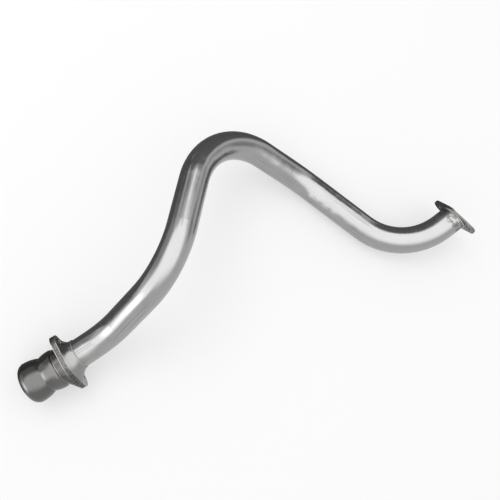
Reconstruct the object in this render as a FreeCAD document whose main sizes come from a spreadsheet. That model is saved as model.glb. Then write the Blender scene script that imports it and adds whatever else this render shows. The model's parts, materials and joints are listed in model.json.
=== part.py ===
import FreeCAD, Part
import math
import os

import Sketcher
from FreeCAD import Placement, Rotation, Vector

# Exhaust mid pipe: a mandrel-bent tube with a rounded ball end and two bolted flanges.
#
# The pipe is described first in its bending frame. The origin is where the tube's axis meets the
# inlet flange's joint face, +X runs along the first straight, and the first bend turns towards +Y.
# The finished pipe is then laid down as it comes to rest: on the tube's long straight and on the
# ball, with +Z up, the floor at Z = 0 and the origin under the middle of its bounding box.

SIZES = [
    ("tube_diameter", 45.0, "outer diameter of the tube"),
    ("tube_wall", 1.5, "wall of the tube"),
    ("bend_radius", 108.0, "centreline radius of every bend"),
    ("straight_a", 42.0, "inlet flange's joint face to bend a"),
    ("straight_b", 68.0, "bend a to bend b"),
    ("straight_c", 79.0, "bend b to bend c"),
    ("straight_d", 54.0, "bend c to bend d"),
    ("straight_e", 106.0, "bend d to bend e, the stretch that lies on the floor"),
    ("straight_f", 29.0, "bend e to the outlet flange's outer face"),
    ("bend_angle_a", 34.5, "turn of bend a"),
    ("bend_angle_b", 65.0, "turn of bend b"),
    ("bend_angle_c", 91.5, "turn of bend c"),
    ("bend_angle_d", 31.0, "turn of bend d"),
    ("bend_angle_e", 75.5, "turn of bend e"),
    ("plane_turn_b", -126.0, "bend a's plane to bend b's, about the straight between"),
    ("plane_turn_c", -89.0, "bend b's plane to bend c's"),
    ("plane_turn_d", -43.0, "bend c's plane to bend d's"),
    ("plane_turn_e", -99.0, "bend d's plane to bend e's"),
    ("tube_setback", 8.0, "joint face to the tube's end inside the inlet flange"),
    ("fit_clearance", 0.15, "radial gap of a slip fit"),
    ("inlet_side", 107.0, "side that the ball and its flange are off to, from bend a's inner side"),
    ("inlet_shift", 2.0, "how far the ball and its flange stand off the tube's axis"),
    ("inlet_lean", 3.3, "how far the ball and its flange lean from square to the tube"),
    ("inlet_lug_radius", 16.0, "radius of the inlet flange's lugs"),
    ("inlet_lug_end", 14.0, "middle of each bolt hole to the end of its lug"),
    ("inlet_plate", 8.0, "thickness of the inlet flange's plate"),
    ("inlet_roll", 125.0, "turn of the lug line about the tube, from bend a's inner side"),
    ("inlet_bolt_gap", 10.5, "tube's surface to the middle of each bolt hole on the inlet flange"),
    ("inlet_hole", 11.0, "diameter of the inlet flange's bolt holes"),
    ("inlet_seat", 17.0, "diameter of the flat seat round each bolt hole"),
    ("socket_stop", 0.5, "width of the step that the tube's end meets inside the inlet flange"),
    ("neck_wall", 1.3, "wall of the drawn neck where it ends on the tube"),
    ("neck_station", 23.0, "joint face to the end of the drawn neck"),
    ("neck_lug_flare", 15.0, "spread of the neck's foot towards the lugs"),
    ("neck_side_flare", 4.2, "spread of the neck's foot across the lugs"),
    ("spigot_step", 2.0, "how far the ball end's spigot stands out beyond the tube's surface"),
    ("hub_wall", 4.5, "wall of the hub round the spigot"),
    ("hub_length", 9.5, "length of the hub beyond the joint face"),
    ("hub_flare", 15.0, "spread of the hub's foot towards the lower lug"),
    ("ball_wall", 2.0, "wall of the ball end"),
    ("ball_groove", 0.7, "weld groove between the hub and the bead"),
    ("shoulder_step", 0.9, "how far the bead starts below the hub's surface"),
    ("bead_rise", 2.6, "shoulder to the bead's crest, outwards"),
    ("bead_run", 5.2, "shoulder to the bead's crest, along the axis"),
    ("waist_drop", 3.2, "the bead's crest to the waist, inwards"),
    ("waist_run", 17.3, "the bead's crest to the waist, along the axis"),
    ("ball_rise", 5.0, "waist to the ball's crest, outwards"),
    ("ball_run", 22.6, "waist to the ball's crest, along the axis"),
    ("mouth_drop", 11.0, "the ball's crest to the rolled-in mouth, inwards"),
    ("mouth_run", 12.7, "the ball's crest to the rolled-in mouth, along the axis"),
    ("outlet_side", -50.0, "side that the outlet flange leans to, from bend e's inner side"),
    ("outlet_lean", 7.6, "how far the outlet flange leans from square to the tube"),
    ("outlet_lug_radius", 16.5, "radius of the outlet flange's lugs"),
    ("outlet_lug_end", 11.5, "middle of each bolt hole to the end of its lug"),
    ("outlet_margin", 4.0, "how far the outlet flange's middle stands out beyond the tube"),
    ("outlet_plate", 4.0, "thickness of the outlet flange"),
    ("outlet_roll", 143.0, "turn of the lug line about the tube, from bend e's inner side"),
    ("outlet_bolt_gap", 9.5, "tube's surface to the middle of each bolt hole on the outlet flange"),
    ("outlet_hole", 9.0, "diameter of the outlet flange's bolt holes"),
    ("neck_weld", 1.3, "radius of the bead at the end of the inlet flange's neck"),
    ("outlet_weld", 2.3, "radius of the bead between the tube and the outlet flange"),
    ("lying_azimuth", -36.5, "direction of the long straight on the floor, about +Z from +X"),
]

# What follows from the sizes above: each piece that seats another takes its size from it.
DERIVED = [
    ("gas_bore", "tube_diameter - 2 * socket_stop", "passage through the inlet flange's plate"),
    ("neck_diameter", "tube_diameter + 2 * neck_wall", "outer diameter of the neck's end"),
    ("spigot_diameter", "tube_diameter + 2 * spigot_step", "outer diameter of the spigot"),
    ("hub_diameter", "spigot_diameter + 2 * hub_wall", "outer diameter of the hub"),
    ("bead_shoulder", "hub_diameter - 2 * shoulder_step", "diameter where the bead rises"),
    ("bead_diameter", "bead_shoulder + 2 * bead_rise", "diameter of the bead's crest"),
    ("waist_diameter", "bead_diameter - 2 * waist_drop", "diameter of the waist"),
    ("ball_diameter", "waist_diameter + 2 * ball_rise", "diameter of the ball's crest"),
    ("mouth_diameter", "ball_diameter - 2 * mouth_drop", "outer diameter of the mouth"),
    ("bead_station", "hub_length + ball_groove + bead_run", "joint face to the bead's crest"),
    ("waist_station", "bead_station + waist_run", "joint face to the waist"),
    ("ball_station", "waist_station + ball_run", "joint face to the ball's crest"),
    ("mouth_station", "ball_station + mouth_run", "joint face to the mouth"),
    ("inlet_waist", "hub_diameter", "width of the inlet flange's middle"),
    ("inlet_bolt_spacing", "tube_diameter + 2 * inlet_bolt_gap", "hole to hole, even about the tube"),
    ("inlet_length", "inlet_bolt_spacing + 2 * inlet_lug_end", "inlet flange over its lugs"),
    ("outlet_waist", "tube_diameter + 2 * outlet_margin", "width of the outlet flange's middle"),
    ("outlet_bolt_spacing", "tube_diameter + 2 * outlet_bolt_gap", "hole to hole"),
    ("outlet_length", "outlet_bolt_spacing + 2 * outlet_lug_end", "outlet flange over its lugs"),
]

BENDS = "abcde"
STRAIGHTS = "abcdef"

document = FreeCAD.newDocument("exhaust_mid_pipe")
sheet = document.addObject("Spreadsheet::Sheet", "Sizes")
for row, (alias, value, meaning) in enumerate(SIZES, start=1):
    sheet.set(f"A{row}", meaning)
    sheet.set(f"B{row}", str(value))
    sheet.setAlias(f"B{row}", alias)
for row, (alias, rule, meaning) in enumerate(DERIVED, start=len(SIZES) + 1):
    sheet.set(f"A{row}", meaning)
    sheet.set(f"B{row}", "=" + rule)
    sheet.setAlias(f"B{row}", alias)
document.recompute()


def size(alias):
    """The value that the sheet holds under an alias."""
    return float(sheet.get(alias))


def add(kind, name, **expressions):
    """Adds an object and ties its properties to the sheet."""
    item = document.addObject(kind, name)
    for prop, expression in expressions.items():
        item.setExpression(prop.replace("__", "."), expression)
    return item


def cut(name, base, *tools):
    """Takes one or more solids away from another."""
    tool = tools[0]
    if len(tools) > 1:
        tool = document.addObject("Part::MultiFuse", name + "_tools")
        tool.Shapes = list(tools)
    result = document.addObject("Part::Cut", name)
    result.Base = base
    result.Tool = tool
    return result


# The tube's route


def bend_route():
    """Walks straights and bends from the joint face.

    Returns the centreline's edges, the frame at the outlet (X along the tube, Y to the last bend's
    inner side) and the frame at the start of the long straight.
    """
    radius = size("bend_radius")
    here = Placement()
    edges = []
    rest = None
    for index, straight in enumerate(STRAIGHTS):
        if straight == "e":
            rest = here.copy()
        length = size("straight_" + straight)
        ahead = here.multiply(Placement(Vector(length, 0, 0), Rotation()))
        edges.append(Part.LineSegment(here.Base, ahead.Base).toShape())
        here = ahead
        if index == len(BENDS):
            break
        bend = BENDS[index]
        if index:
            turn = Rotation(Vector(1, 0, 0), size("plane_turn_" + bend))
            here = here.multiply(Placement(Vector(), turn))
        angle = size("bend_angle_" + bend)
        arc = []
        for share in (0.5, 1.0):
            swing = math.radians(angle * share)
            step = Vector(radius * math.sin(swing), radius * (1 - math.cos(swing)), 0)
            arc.append(here.multiply(Placement(step, Rotation(Vector(0, 0, 1), angle * share))))
        edges.append(Part.Arc(here.Base, arc[0].Base, arc[1].Base).toShape())
        here = arc[1]
    return edges, here, rest


route_edges, tube_end, long_straight = bend_route()


def leaning(frame, side, lean, shift=0.0):
    """A frame moved and leaned towards one side, which is counted about its X from its own Y."""
    about = Placement(Vector(), Rotation(Vector(1, 0, 0), side))
    tilt = Placement(Vector(0, shift, 0), Rotation(Vector(0, 0, 1), lean))
    return frame.multiply(about).multiply(tilt).multiply(about.inverse())


def along_x(frame, turn=0.0, distance=0.0):
    """Stands what is drawn about Z on a frame's X, so that its own X line has the given turn."""
    stand = Rotation(Vector(1, 0, 0), turn - 90).multiply(Rotation(Vector(0, 1, 0), 90))
    return frame.multiply(Placement(Vector(distance, 0, 0), stand))


# The ball end and its flange share an axis, slightly off the tube's. X runs towards the tube.
TUBE_START = Placement()
INLET_SEAT = leaning(TUBE_START, size("inlet_side"), size("inlet_lean"), size("inlet_shift"))
OUTLET_SEAT = leaning(tube_end, size("outlet_side"), size("outlet_lean"))

# Each flange is drawn about Z with its lugs on X, its joint face at Z = 0 and the tube at +Z.
INLET_PLATE = along_x(INLET_SEAT, size("inlet_roll"))
OUTLET_TURN = Rotation(Vector(1, 0, 0), size("outlet_roll") - 90).multiply(Rotation(Vector(0, 1, 0), -90))
OUTLET_PLATE = OUTLET_SEAT.multiply(Placement(Vector(), OUTLET_TURN))

# The tube starts inside the inlet flange. It runs on past the outlet flange and is cut flush there.
setback = Vector(size("tube_setback"), 0, 0)
first_run = Part.LineSegment(setback, route_edges[0].Vertexes[1].Point).toShape()
overrun = tube_end.multVec(Vector(size("tube_diameter"), 0, 0))
last_run = Part.LineSegment(route_edges[-1].Vertexes[0].Point, overrun).toShape()
route = document.addObject("Part::Feature", "route")
route.Shape = Part.Wire([first_run] + route_edges[1:-1] + [last_run])
spine_names = [f"Edge{number + 1}" for number in range(len(route.Shape.Edges))]


def tube_core(name, radius):
    """A solid rod of the given radius expression along the whole route."""
    ring = add("Part::Circle", name + "_ring", Radius=radius)
    ring.Placement = Placement(setback, Rotation(Vector(0, 1, 0), 90))
    rod = document.addObject("Part::Sweep", name)
    rod.Sections = [ring]
    rod.Spine = (route, spine_names)
    rod.Solid = True
    rod.Frenet = False
    return rod


def block_ahead(name, frame):
    """A block that fills all that lies ahead of a frame's YZ plane."""
    reach = 4 * size("tube_diameter")
    block = document.addObject("Part::Box", name)
    block.Length = reach
    block.Width = reach
    block.Height = reach
    block.Placement = frame.multiply(Placement(Vector(0, -reach / 2, -reach / 2), Rotation()))
    return block


outer_rod = tube_core("outer_rod", "Sizes.tube_diameter / 2")
inner_rod = tube_core("inner_rod", "Sizes.tube_diameter / 2 - Sizes.tube_wall")
bent_tube = cut("bent_tube", outer_rod, inner_rod, block_ahead("tube_end_cut", OUTLET_SEAT))


# The flanges


def bind(sketch, kind, where, expression):
    """Adds a dimension to a sketch at its drawn value and ties it to the sheet."""
    geometry = sketch.Geometry[where[0]]
    if kind == "Radius":
        value = geometry.Radius
        index = sketch.addConstraint(Sketcher.Constraint(kind, where[0], value))
    else:
        point = sketch.getPoint(where[0], where[1])
        value = point.x if kind == "DistanceX" else point.y
        index = sketch.addConstraint(Sketcher.Constraint(kind, -1, 1, where[0], where[1], value))
    sketch.setExpression(f"Constraints[{index}]", expression)


def lug_outline(prefix):
    """The two-lug outline: a round lug at each end, a round middle and straight tangent flanks."""
    sketch = document.addObject("Sketcher::SketchObject", prefix + "_outline")
    lug = size(prefix + "_lug_radius")
    reach = size(prefix + "_length") / 2 - lug
    waist = size(prefix + "_waist") / 2
    lean = math.pi / 2 - math.asin((waist - lug) / reach)
    normal = Vector(0, 0, 1)
    loop = [
        Part.ArcOfCircle(Part.Circle(Vector(reach, 0, 0), normal, lug), -lean, lean),
        Part.ArcOfCircle(Part.Circle(Vector(), normal, waist), lean, math.pi - lean),
        Part.ArcOfCircle(Part.Circle(Vector(-reach, 0, 0), normal, lug), math.pi - lean, math.pi + lean),
        Part.ArcOfCircle(Part.Circle(Vector(), normal, waist), math.pi + lean, 2 * math.pi - lean),
    ]
    for arc in loop:
        sketch.addGeometry(arc, False)
    for index, arc in enumerate(loop):
        following = (index + 1) % len(loop)
        flank = sketch.addGeometry(Part.LineSegment(arc.EndPoint, loop[following].StartPoint), False)
        sketch.addConstraint(Sketcher.Constraint("Tangent", index, 2, flank, 1))
        sketch.addConstraint(Sketcher.Constraint("Tangent", flank, 2, following, 1))
    for index in (1, 3):
        sketch.addConstraint(Sketcher.Constraint("Coincident", index, 3, -1, 1))
        bind(sketch, "Radius", (index,), f"Sizes.{prefix}_waist / 2")
    for index, sign in ((0, ""), (2, "-")):
        reach_rule = f"{sign}(Sizes.{prefix}_length / 2 - Sizes.{prefix}_lug_radius)"
        bind(sketch, "DistanceX", (index, 3), reach_rule)
        sketch.addConstraint(Sketcher.Constraint("PointOnObject", index, 3, -1))
        bind(sketch, "Radius", (index,), f"Sizes.{prefix}_lug_radius")
    return sketch


def plate(prefix):
    """The flat two-lug plate, from its joint face at Z = 0 up to its thickness."""
    slab = add("Part::Extrusion", prefix + "_plate_slab", LengthFwd=f"Sizes.{prefix}_plate")
    slab.Base = lug_outline(prefix)
    slab.DirMode = "Normal"
    slab.Solid = True
    return slab


def rod(name, radius, height, place):
    """A cylinder with its size tied to the sheet."""
    tool = add("Part::Cylinder", name, Radius=radius, Height=height)
    tool.Placement = place
    return tool


def oval(name, major, minor, place):
    """A section of a loft."""
    section = add("Part::Ellipse", name, MajorRadius=major, MinorRadius=minor)
    section.Placement = place
    return section


def loft(name, sections, ruled):
    """A solid through some sections."""
    skin = document.addObject("Part::Loft", name)
    skin.Sections = sections
    skin.Solid = True
    skin.Ruled = ruled
    return skin


def drawn_neck():
    """The neck: an oval foot on the plate that draws in to a round end, square to the tube."""
    foot = Placement(Vector(0, 0, size("inlet_plate")), Rotation())
    end = INLET_PLATE.inverse().multiply(along_x(TUBE_START, size("inlet_roll"), size("neck_station")))
    sections = []
    steps = 3
    for step in range(steps + 1):
        spread = (1 - step / steps) ** 2
        sections.append(oval(
            f"neck_section_{step}",
            f"Sizes.neck_diameter / 2 + Sizes.neck_lug_flare * {spread}",
            f"Sizes.neck_diameter / 2 + Sizes.neck_side_flare * {spread}",
            foot.sclerp(end, step / steps),
        ))
    return loft("neck", sections, False)


def hub():
    """The hub on the ball's side: round at its end, with a foot that spreads to the lower lug."""
    end = oval(
        "hub_end",
        "Sizes.hub_diameter / 2",
        "Sizes.hub_diameter / 2",
        Placement(Vector(0, 0, -size("hub_length")), Rotation()),
    )
    foot = oval(
        "hub_foot",
        "(Sizes.hub_diameter + Sizes.hub_flare) / 2",
        "Sizes.hub_diameter / 2",
        Placement(Vector(-size("hub_flare") / 2, 0, 0), Rotation()),
    )
    return loft("hub", [end, foot], True)


def inlet_flange():
    """The thick flange: plate, drawn neck on the tube's side and hub on the ball's side."""
    blank = document.addObject("Part::MultiFuse", "inlet_flange_blank")
    blank.Shapes = [plate("inlet"), drawn_neck(), hub()]
    low = Vector(0, 0, -size("hub_length"))
    whole = "Sizes.hub_length + 2 * Sizes.neck_station"
    tube_axis = INLET_PLATE.inverse()
    middle = tube_axis.multVec(Vector(size("inlet_plate"), 0, 0))
    tools = [
        rod("tube_socket", "Sizes.tube_diameter / 2 + Sizes.fit_clearance", whole,
            tube_axis.multiply(along_x(TUBE_START, 0, size("tube_setback")))),
        rod("gas_passage", "Sizes.gas_bore / 2", "Sizes.hub_length + Sizes.tube_setback + Sizes.tube_wall",
            Placement(low, Rotation())),
        rod("spigot_socket", "Sizes.spigot_diameter / 2 + Sizes.fit_clearance", "Sizes.hub_length",
            Placement(low, Rotation())),
    ]
    for sign, lug in ((1, "upper"), (-1, "lower")):
        hole = Vector(middle.x + sign * size("inlet_bolt_spacing") / 2, middle.y, 0)
        seat = hole + Vector(0, 0, size("inlet_plate"))
        drilled = Placement(hole + low, Rotation())
        faced = Placement(seat, Rotation())
        tools.append(rod(f"inlet_hole_{lug}", "Sizes.inlet_hole / 2", whole, drilled))
        tools.append(rod(f"inlet_seat_{lug}", "Sizes.inlet_seat / 2", whole, faced))
    return cut("inlet_flange", blank, *tools)


def outlet_flange():
    """The thin plate with its two holes and a bore that follows the tube."""
    back = Placement(Vector(-size("tube_diameter"), 0, 0), Rotation(Vector(0, 1, 0), 90))
    tools = [
        rod("outlet_bore", "Sizes.tube_diameter / 2 + Sizes.fit_clearance", "2 * Sizes.tube_diameter",
            OUTLET_PLATE.inverse().multiply(tube_end).multiply(back)),
    ]
    for sign, lug in ((1, "upper"), (-1, "lower")):
        drilled = Placement(Vector(sign * size("outlet_bolt_spacing") / 2, 0, 0), Rotation())
        tools.append(rod(f"outlet_hole_{lug}", "Sizes.outlet_hole / 2", "Sizes.outlet_plate", drilled))
    return cut("outlet_flange", plate("outlet"), *tools)


inlet = inlet_flange()
outlet = outlet_flange()


# The ball end


def ball_section():
    """Half of the ball end's wall: a spigot in the hub, a bead, a waist, the ball and its mouth.

    Drawn with X out of the pipe from the joint face and Y outwards from the axis. Each crest is the
    meeting of two arcs whose centres stand under it, and the inner arcs share those centres.
    """
    wall = size("ball_wall")
    spigot = size("spigot_diameter") / 2
    rise = size("hub_length") + size("ball_groove")
    normal = Vector(0, 0, 1)
    corners = [
        Vector(rise, size("bead_shoulder") / 2, 0),
        Vector(size("bead_station"), size("bead_diameter") / 2, 0),
        Vector(size("waist_station"), size("waist_diameter") / 2, 0),
        Vector(size("ball_station"), size("ball_diameter") / 2, 0),
        Vector(size("mouth_station"), size("mouth_diameter") / 2, 0),
    ]
    crests = (1, 1, 3, 3)

    def centre_under(crest, other):
        run = other.x - crest.x
        drop = crest.y - other.y
        return Vector(crest.x, crest.y - (run * run + drop * drop) / (2 * drop), 0)

    sketch = document.addObject("Sketcher::SketchObject", "ball_section")
    circles = []
    for index, crest_index in enumerate(crests):
        crest = corners[crest_index]
        other = corners[index] if corners[index] is not crest else corners[index + 1]
        centre = centre_under(crest, other)
        circles.append(Part.Circle(centre, normal, (crest - centre).Length))

    def on_circle(circle, x):
        run = x - circle.Center.x
        return Vector(x, circle.Center.y + math.sqrt(circle.Radius**2 - run * run), 0)

    def crossing(first, second):
        points = first.intersect(second)
        return max((Vector(p.X, p.Y, 0) for p in points), key=lambda p: p.y)

    def arc_between(circle, start, end):
        """The arc over the top, stored from the right-hand point to the left-hand one."""
        angles = [math.atan2(p.y - circle.Center.y, p.x - circle.Center.x) for p in (end, start)]
        return Part.ArcOfCircle(circle, angles[0], angles[1])

    inner_circles = [Part.Circle(c.Center, normal, c.Radius - wall) for c in circles]
    lip_centre = circles[3].Center
    lip_share = inner_circles[3].Radius / circles[3].Radius
    inner_corners = [
        on_circle(inner_circles[0], rise + wall),
        corners[1] - Vector(0, wall, 0),
        crossing(inner_circles[1], inner_circles[2]),
        corners[3] - Vector(0, wall, 0),
        lip_centre + (corners[4] - lip_centre) * lip_share,
    ]
    for index, circle in enumerate(circles):
        sketch.addGeometry(arc_between(circle, corners[index], corners[index + 1]), False)
    for index, circle in enumerate(inner_circles):
        sketch.addGeometry(arc_between(circle, inner_corners[index], inner_corners[index + 1]), False)
    steps = [
        (corners[4], inner_corners[4]),
        (inner_corners[0], Vector(rise + wall, spigot - wall, 0)),
        (Vector(rise + wall, spigot - wall, 0), Vector(0, spigot - wall, 0)),
        (Vector(0, spigot - wall, 0), Vector(0, spigot, 0)),
        (Vector(0, spigot, 0), Vector(rise, spigot, 0)),
        (Vector(rise, spigot, 0), corners[0]),
    ]
    for start, end in steps:
        sketch.addGeometry(Part.LineSegment(start, end), False)
    lip, inner_rise, inner_collar, foot, outer_collar, outer_rise = range(8, 14)

    constrain = sketch.addConstraint
    # Arcs run from their right-hand end (point 1) to their left-hand end (point 2).
    for first in (0, 4):
        for index in range(first, first + 3):
            constrain(Sketcher.Constraint("Coincident", index, 1, index + 1, 2))
    for arc, crest in ((0, "bead"), (1, "bead"), (2, "ball"), (3, "ball")):
        bind(sketch, "DistanceX", (arc, 3), f"Sizes.{crest}_station")
    for outer, inner in ((0, 4), (1, 5), (2, 6), (3, 7)):
        constrain(Sketcher.Constraint("Coincident", outer, 3, inner, 3))
    loop = [(3, 1, lip, 1), (lip, 2, 7, 1), (4, 2, inner_rise, 1), (inner_rise, 2, inner_collar, 1),
            (inner_collar, 2, foot, 1), (foot, 2, outer_collar, 1), (outer_collar, 2, outer_rise, 1),
            (outer_rise, 2, 0, 2)]
    for joint in loop:
        constrain(Sketcher.Constraint("Coincident", *joint))
    constrain(Sketcher.Constraint("PointOnObject", 3, 3, lip))
    for line in (inner_rise, foot, outer_rise):
        constrain(Sketcher.Constraint("Vertical", line))
    for line in (inner_collar, outer_collar):
        constrain(Sketcher.Constraint("Horizontal", line))
    bind(sketch, "DistanceX", (0, 2), "Sizes.hub_length + Sizes.ball_groove")
    bind(sketch, "DistanceY", (0, 2), "Sizes.bead_shoulder / 2")
    bind(sketch, "DistanceX", (0, 1), "Sizes.bead_station")
    bind(sketch, "DistanceY", (0, 1), "Sizes.bead_diameter / 2")
    bind(sketch, "DistanceX", (1, 1), "Sizes.waist_station")
    bind(sketch, "DistanceY", (1, 1), "Sizes.waist_diameter / 2")
    bind(sketch, "DistanceX", (2, 1), "Sizes.ball_station")
    bind(sketch, "DistanceY", (2, 1), "Sizes.ball_diameter / 2")
    bind(sketch, "DistanceX", (3, 1), "Sizes.mouth_station")
    bind(sketch, "DistanceY", (3, 1), "Sizes.mouth_diameter / 2")
    bind(sketch, "DistanceX", (4, 1), "Sizes.bead_station")
    bind(sketch, "DistanceY", (4, 1), "Sizes.bead_diameter / 2 - Sizes.ball_wall")
    bind(sketch, "DistanceX", (6, 1), "Sizes.ball_station")
    bind(sketch, "DistanceY", (6, 1), "Sizes.ball_diameter / 2 - Sizes.ball_wall")
    bind(sketch, "DistanceX", (inner_rise, 1), "Sizes.hub_length + Sizes.ball_groove + Sizes.ball_wall")
    bind(sketch, "DistanceX", (foot, 1), "0")
    bind(sketch, "DistanceY", (foot, 1), "Sizes.spigot_diameter / 2 - Sizes.ball_wall")
    bind(sketch, "DistanceY", (foot, 2), "Sizes.spigot_diameter / 2")
    return sketch


def turned(name, section):
    """A solid of revolution of a section about its own X axis."""
    solid = document.addObject("Part::Revolution", name)
    solid.Source = section
    solid.Axis = Vector(1, 0, 0)
    solid.Base = Vector()
    solid.Angle = 360.0
    solid.Solid = True
    return solid


ball = turned("ball_end", ball_section())


# The welds


def neck_weld():
    """The bead where the inlet flange's neck ends on the tube, drawn from the neck's end at Z = 0."""
    bead = add("Part::Torus", "neck_bead", Radius1="Sizes.tube_diameter / 2", Radius2="Sizes.neck_weld")
    below = Placement(Vector(0, 0, -2 * size("neck_weld")), Rotation())
    tube = rod("neck_weld_bore", "Sizes.tube_diameter / 2", "4 * Sizes.neck_weld", below)
    neck = rod("neck_weld_face", "Sizes.neck_diameter", "2 * Sizes.neck_weld", below)
    return cut("inlet_neck_weld", bead, tube, neck)


def ball_weld():
    """The bead that fills the groove between the hub and the ball end's bead."""
    place = Placement(Vector(0, 0, -size("hub_length") - size("ball_groove")), Rotation())
    groove = rod("groove_fill", "Sizes.bead_shoulder / 2 + Sizes.ball_groove", "Sizes.ball_groove", place)
    root = rod("groove_root", "Sizes.bead_shoulder / 2 - Sizes.ball_groove", "Sizes.ball_groove", place)
    return cut("ball_end_weld", groove, root)


def outlet_weld():
    """The bead round the tube on the leaning outlet flange: a round section along an ellipse."""
    lean = math.radians(size("outlet_lean"))
    radius = size("tube_diameter") / 2
    inner_face = OUTLET_SEAT.multiply(Placement(Vector(-size("outlet_plate"), 0, 0), Rotation()))
    centre = tube_end.multVec(Vector(-size("outlet_plate") / math.cos(lean), 0, 0))
    normal = OUTLET_SEAT.Rotation.multVec(Vector(1, 0, 0))
    towards_side = Rotation(Vector(1, 0, 0), size("outlet_side")).multVec(Vector(0, 1, 0))
    long_line = OUTLET_SEAT.Rotation.multVec(towards_side)
    short_line = normal.cross(long_line)
    ring = add(
        "Part::Ellipse",
        "outlet_weld_ring",
        MajorRadius="Sizes.tube_diameter / 2 / cos(Sizes.outlet_lean * 1 deg)",
        MinorRadius="Sizes.tube_diameter / 2",
    )
    ring.Placement = Placement(centre, Rotation(long_line, short_line, normal, "ZXY"))
    section = add("Part::Circle", "outlet_weld_section", Radius="Sizes.outlet_weld")
    start = centre + long_line * (radius / math.cos(lean))
    section.Placement = Placement(start, Rotation(normal, long_line, short_line, "ZXY"))
    bead = document.addObject("Part::Sweep", "outlet_bead")
    bead.Sections = [section]
    bead.Spine = (ring, ["Edge1"])
    bead.Solid = True
    bead.Frenet = True
    return cut("outlet_neck_weld", bead, outer_rod, block_ahead("outlet_weld_face", inner_face))


inlet_bead = neck_weld()
ball_bead = ball_weld()
outlet_bead = outlet_weld()
document.recompute()


# Laying the pipe down

# Each piece's frame before the pipe is laid down.
PIECES = [
    (bent_tube, "bent_tube", Placement()),
    (ball, "ball_end", INLET_SEAT.multiply(Placement(Vector(), Rotation(Vector(0, 0, 1), 180)))),
    (inlet, "inlet_flange", INLET_PLATE),
    (inlet_bead, "inlet_neck_weld", along_x(TUBE_START, 0, size("neck_station"))),
    (ball_bead, "ball_end_weld", INLET_PLATE),
    (outlet, "outlet_flange", OUTLET_PLATE),
    (outlet_bead, "outlet_neck_weld", Placement()),
]


def box_under(placement, pieces):
    """The tight box of some pieces once a placement is laid over their own frames."""
    box = FreeCAD.BoundBox()
    for item, _, own_frame in pieces:
        shape = item.Shape.copy()
        shape.Placement = placement.multiply(own_frame)
        box.add(shape.optimalBoundingBox(False))
    return box


def lying_placement():
    """The placement of the pipe as it rests on the long straight and on the ball.

    The long straight is levelled and the pipe is rolled about it. Of the rolls at which the ball
    touches the same floor, the one that keeps every piece above that floor is the resting one.
    """
    level = Rotation(long_straight.Rotation.multVec(Vector(1, 0, 0)), Vector(1, 0, 0))
    ball_only = [piece for piece in PIECES if piece[0] is ball]

    def rolled(angle):
        return Placement(Vector(), Rotation(Vector(1, 0, 0), angle).multiply(level))

    def floor(angle):
        return rolled(angle).multVec(long_straight.Base).z - size("tube_diameter") / 2

    def ball_gap(angle):
        return box_under(rolled(angle), ball_only).ZMin - floor(angle)

    step = 10
    rests = []
    for start in range(0, 360, step):
        low, high = float(start), float(start + step)
        if ball_gap(low) * ball_gap(high) > 0:
            continue
        while high - low > 1e-9:
            middle = (low + high) / 2
            if ball_gap(low) * ball_gap(middle) <= 0:
                high = middle
            else:
                low = middle
        rests.append((box_under(rolled(low), PIECES).ZMin - floor(low), low))
    if not rests:
        raise ValueError("the ball doesn't reach the floor at any roll")
    roll = max(rests)[1]
    azimuth = Placement(Vector(), Rotation(Vector(0, 0, 1), size("lying_azimuth")))
    turned_about = azimuth.multiply(rolled(roll))
    box = box_under(turned_about, PIECES)
    return Placement(Vector(-box.Center.x, -box.Center.y, -box.ZMin), Rotation()).multiply(turned_about)


lying = lying_placement()
for item, label, own_frame in PIECES:
    item.Placement = lying.multiply(own_frame)
    item.Label = label
document.recompute()

for item in document.Objects:
    if "Invalid" in item.State or "Error" in item.State:
        raise ValueError(f"{item.Name} is {item.State}")

os.makedirs("parts", exist_ok=True)
for item, label, own_frame in PIECES:
    if item.Shape.isNull() or not item.Shape.isValid() or len(item.Shape.Solids) != 1:
        raise ValueError(f"{label} is not one valid solid")
    item.Shape.exportStep(f"parts/{label}.step")
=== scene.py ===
"""The exhaust mid pipe in its studio: steel finishes, laid weld beads, light and camera."""

import json
import logging
import math
from dataclasses import dataclass, field
from enum import Enum

import bpy
from mathutils import Matrix, Vector


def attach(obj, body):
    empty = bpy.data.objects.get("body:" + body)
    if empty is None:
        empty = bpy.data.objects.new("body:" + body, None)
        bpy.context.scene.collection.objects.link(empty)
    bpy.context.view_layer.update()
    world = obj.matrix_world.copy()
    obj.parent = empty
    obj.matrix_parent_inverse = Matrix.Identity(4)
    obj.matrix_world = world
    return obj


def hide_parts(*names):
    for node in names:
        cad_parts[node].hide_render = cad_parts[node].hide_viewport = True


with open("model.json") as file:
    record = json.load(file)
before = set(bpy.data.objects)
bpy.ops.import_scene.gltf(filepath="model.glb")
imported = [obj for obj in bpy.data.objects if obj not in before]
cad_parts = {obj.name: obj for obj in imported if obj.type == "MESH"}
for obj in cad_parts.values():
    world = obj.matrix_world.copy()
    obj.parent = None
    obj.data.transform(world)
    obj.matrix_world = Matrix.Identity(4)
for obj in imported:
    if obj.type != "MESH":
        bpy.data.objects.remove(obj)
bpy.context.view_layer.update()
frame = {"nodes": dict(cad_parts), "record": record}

LOG = logging.getLogger("exhaust_mid_pipe")
MM = 0.001
BODY = "root"
UP = Vector((0.0, 0.0, 1.0))

Point = tuple[float, float, float]
FloorPoint = tuple[float, float]
Colour = tuple[float, float, float]
Span = tuple[float, float]
Feather = tuple[float, float, float, float]
Socket = bpy.types.NodeSocket
Value = Socket | float | Point

FADE: Span = (1.0, 0.0)
BALL_MIDDLE: Point = (-0.338, -0.182, 0.032)


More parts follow.
